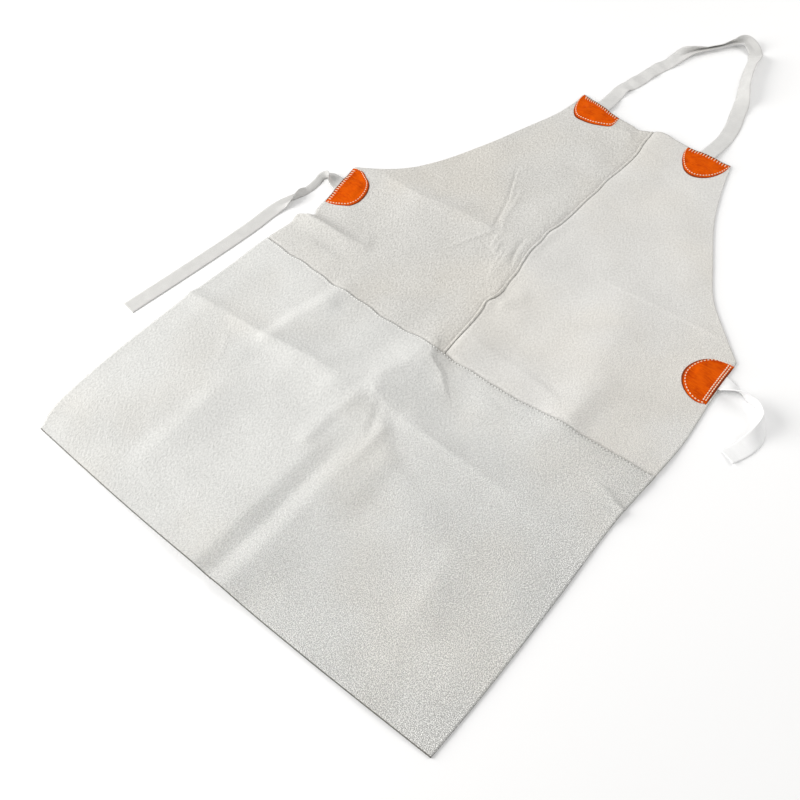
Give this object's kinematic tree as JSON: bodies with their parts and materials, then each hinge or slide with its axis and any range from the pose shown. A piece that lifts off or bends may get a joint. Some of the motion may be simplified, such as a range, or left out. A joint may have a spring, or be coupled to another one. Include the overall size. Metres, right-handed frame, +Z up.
{
  "type": "leather apron",
  "caption": "Leather work apron lying flat: a wide skirt and tapered bib sewn from split-hide panels, with orange half-moon corner patches, a cotton neck strap and waist ties.",
  "frame": {"origin": "on the surface that the apron lies on, under the middle of its whole outline", "axes": "+X across the front to the viewer's right, +Y from the hem towards the neck, +Z up, out of the apron's outer face"},
  "size_m": [0.7362, 1.135, 0.0218],
  "materials": {
    "split_leather": "off-white split suede with a short nap",
    "patch_leather": "smooth orange leather with a slight sheen",
    "cotton_tape": "undyed woven cotton tape"
  },
  "bodies": {
    "root": {"skirt": "split_leather", "bib_left": "split_leather", "bib_right": "split_leather", "patch_neck_left": "patch_leather", "patch_neck_right": "patch_leather", "patch_waist_left": "patch_leather", "patch_waist_right": "patch_leather", "neck_strap": "cotton_tape", "waist_tie_left": "cotton_tape", "waist_tie_right": "cotton_tape"}
  },
  "joints": []
}
